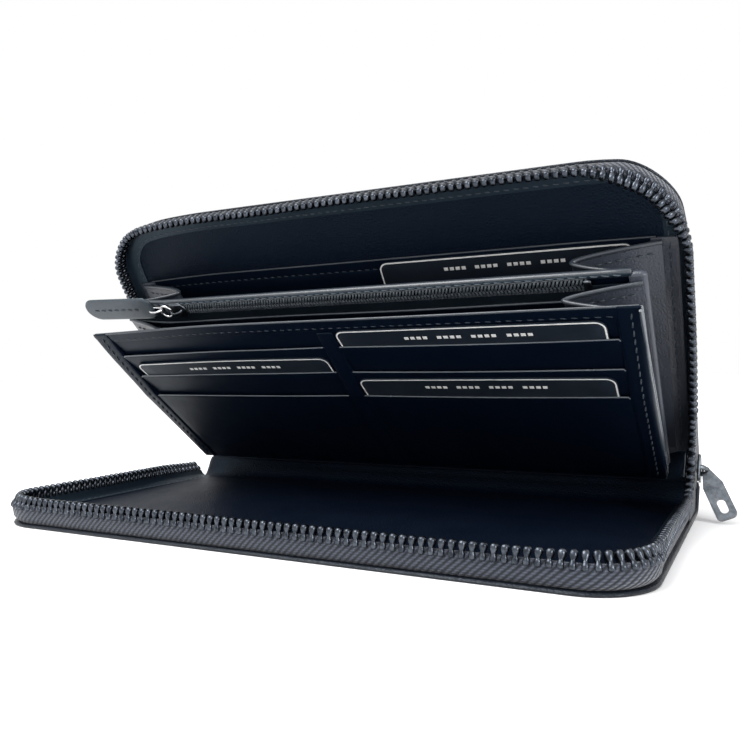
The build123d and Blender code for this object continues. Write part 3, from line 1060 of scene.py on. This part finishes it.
def gusset_leaf(name, back_side, node, walls, faces, xs, rows):
    """A leaf from its own wall to the fold, curving round so that two leaves make one soft fold.

    back_side is the direction in which the leaf has its thickness, and rows are pairs of heights: up its own
    wall and up the other one.
    """
    edge_x, fold_x = xs
    wall, far = walls
    face, far_face = faces

    def at(share, up, out):
        own_up, far_up = up
        edge = wall.at(edge_x, own_up, face)
        near = wall.at(mix(edge_x, fold_x, 0.45), own_up, face)
        a = wall.at(fold_x, own_up, face)
        b = far.at(fold_x, far_up, far_face)
        fold = (a + b) / 2
        turn_in = fold + (a - b) * 0.12
        # The control point beside the fold leans outwards, so the crease is round and not sharp.
        beyond = Vector(((fold_x - edge_x) * 0.05 * MM, 0, 0))
        p = curve_point((edge, near.lerp(edge.lerp(fold, 0.45), 0.6), turn_in + beyond, fold), share)
        return p + wall.normal * (out * MM)

    leaf = Shape()
    shares = steps(0, 1, 14)
    thick = GUSSET_THICK * back_side
    grid = {}
    for side, out in (("face", 0.0), ("rear", thick)):
        grid[side] = [[leaf.point(at(s, up, out), s * 28, up[0]) for s in shares] for up in rows]
    for side in ("face", "rear"):
        for row_a, row_b in zip(grid[side], grid[side][1:]):
            leaf.bridge(row_a, row_b, closed=False)
    walk = edge_walk(len(rows), len(shares))
    leaf.bridge([grid["face"][j][i] for j, i in walk], [grid["rear"][j][i] for j, i in walk])
    piece = leaf.make(name, "gusset", None, node)
    top = rows[-1]
    rim_points = [at(s, top, thick * 0.5) for s in steps(0, 1, 24)]
    rim_piece = Shape().tube(rim_points, 0.72).make(name + "_rim", "rim")
    seam = (top[0] - 3.4, top[1] - 3.4)
    below = [at(s, seam, thick * 1.1 if back_side > 0 else -0.05) for s in steps(0.06, 0.9, 24)]
    sewn = Shape().stitches(below, wall.normal, 2.8, 2.0, 0.45, 0.3).make(name + "_stitches", "thread")
    for part in (piece, rim_piece, sewn):
        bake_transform(part)


def make_gussets():
    """Four V folds: two leaves each, from wall to fold."""
    for side, sign in (("right", 1), ("left", -1)):
        front_top = 84.0 if sign > 0 else 79.0
        back_rows = [(up + 3, up) for up in steps(5.0, 84.5, 12)]
        swapped_rows = [(near, far) for far, near in back_rows]
        front_rows = [(up, up) for up in steps(5.0, front_top, 12)]
        bodies = {back: "back_cover", coin: "coin_pocket", front: "front_wall"}
        # name, direction of its thickness, own wall and the other, their faces, x of edge and fold, heights
        leaves = (
            ("rear_outer", 1, (back, coin), (4.2, -1.4), (100.5, 76.0), back_rows),
            ("rear_inner", -1, (coin, back), (-1.4, 4.2), (97.6, 76.0), swapped_rows),
            ("front_inner", 1, (coin, front), (1.4, -2.35), (97.6, 77.0), front_rows),
            ("front_outer", -1, (front, coin), (-2.35, 1.4), (98.4, 77.0), front_rows),
        )
        for leaf, back_side, walls, faces, xs, rows in leaves:
            xs = [sign * x for x in xs]
            rides = [bodies[wall] for wall in walls]
            node = f"gusset_{side}_{leaf}"
            gusset_leaf(f"{side}_fold_{leaf}", back_side, node, walls, faces, xs, rows)


# ---- main slider


def make_main_slider():
    """Two waisted plates, the wedge between them and a crown."""
    body = Shape()

    def sideways(out, up, x):
        return slide.at(x, up, out)

    def waist(up):
        half = 2.6 + 1.4 * smooth((up - 10) / 5)
        return -half, half

    for x0, x1 in ((103.9, 104.9), (108.25, 109.2)):
        body.sheet(sideways, waist, steps(8.9, 17.1, 12), 7, x0, x1, 0.4)
    body.sheet(sideways, (-0.8, 0.8), [15.4, 16.2, 17.0], 3, 104.8, 108.4, 0.2)
    arch = [(t, sin(pi * t) ** 0.45) for t in steps(0, 1, 15)]
    crown = [slide.at(109.0 + 2.0 * rise, mix(9.5, 16.5, t), 0) for t, rise in arch]
    body.tube(crown, 0.85, 10, squash=0.6, normal=Vector((1, 0, 0)))
    body.make("main_slider_metal", "gunmetal", "main_slider", "main_slider_body")


# ---- scene


def make_floor():
    """A plain pale floor."""
    floor_mesh = bpy.data.meshes.new("floor")
    corners = [(-3, -3, 0), (3, -3, 0), (3, 3, 0), (-3, 3, 0)]
    floor_mesh.from_pydata(corners, [], [(0, 1, 2, 3)])
    white = bpy.data.materials.new("floor_white")
    white.use_nodes = True
    shader = white.node_tree.nodes["Principled BSDF"]
    shader.inputs["Base Color"].default_value = (0.93, 0.93, 0.935, 1)
    shader.inputs["Roughness"].default_value = 0.9
    floor_mesh.materials.append(white)
    add_object("floor", floor_mesh)


def make_lights():
    """A white studio with two soft lamps and a wide sun."""
    world = bpy.data.worlds.new("studio")
    world.use_nodes = True
    world.node_tree.nodes["Background"].inputs["Color"].default_value = (1, 1, 1, 1)
    bpy.context.scene.world = world
    lights = (
        ("key", (-0.25, -0.35, 0.75), (0, 0, 0.03), 0.45, 6.0),
        ("side", (0.75, -0.3, 0.35), (0.08, -0.05, 0.02), 0.25, 3.5),
    )
    for name, place, aim, size, power in lights:
        lamp = bpy.data.lights.new(name, "AREA")
        lamp.shape = "SQUARE"
        lamp.size = size
        lamp.energy = power
        holder = add_object(name, lamp)
        holder.location = place
        holder.rotation_euler = (Vector(aim) - Vector(place)).to_track_quat("-Z", "Y").to_euler()
    sun = bpy.data.lights.new("sky", "SUN")
    sun.energy = 0.7
    sun.angle = radians(60)
    add_object("sky", sun).rotation_euler = (radians(25), radians(-15), 0)
    bpy.context.scene.view_settings.view_transform = "Standard"


def make_camera():
    """The camera, where the view of the open wallet from its right front is."""
    yaw, pitch, roll = radians(28.1), radians(-4.2), radians(-0.8)
    forward = Vector((-sin(yaw) * cos(pitch), cos(yaw) * cos(pitch), sin(pitch)))
    right = Vector((cos(yaw), sin(yaw), 0))
    up = right.cross(forward)
    turned_right = right * cos(roll) + up * sin(roll)
    turned_up = up * cos(roll) - right * sin(roll)
    turn = Matrix((turned_right, turned_up, -forward)).transposed().to_4x4()
    lens = bpy.data.cameras.new("camera")
    lens.lens = 37.76
    lens.sensor_width = 36.0
    lens.shift_x = 0.0128
    lens.shift_y = 0.0724
    lens.clip_start = 0.01
    camera = add_object("camera", lens)
    camera.matrix_world = Matrix.Translation((0.13026, -0.23124, 0.0525)) @ turn
    bpy.context.scene.camera = camera


for cover_name, cover_wall, bent_wall in (("base", base, base_bent), ("back", back, back_bent)):
    make_panels(cover_name, cover_wall, bent_wall)
    make_zip_wall(cover_name, cover_wall)
make_zip_tail("base", base, base_bent, -1)
make_zip_tail("back", back, back_bent, 1)
make_rear_wall()
make_flaps()
make_card("card_rear", "rear_card", back, 6.8, 87.2, 2.05, 0.85)
make_coin_pocket()
make_coin_slider()
make_coin_pull()
make_pull_rings()
make_front_wall()
make_card("card_right_upper", "upper_right_card", front, 3.8, 82.5, -1.575, 0.85)
make_card("card_left_middle", "middle_left_card", front, -89.6, 70.5, -0.325, 0.85)
make_card("card_right_lower", "lower_right_card", front, 3.9, 60.0, 0.925, 0.85)
make_gussets()
make_main_slider()
paint("main_pull_tab", "gunmetal")
paint("zip_tail_tape", "tape")
make_floor()
make_lights()
make_camera()
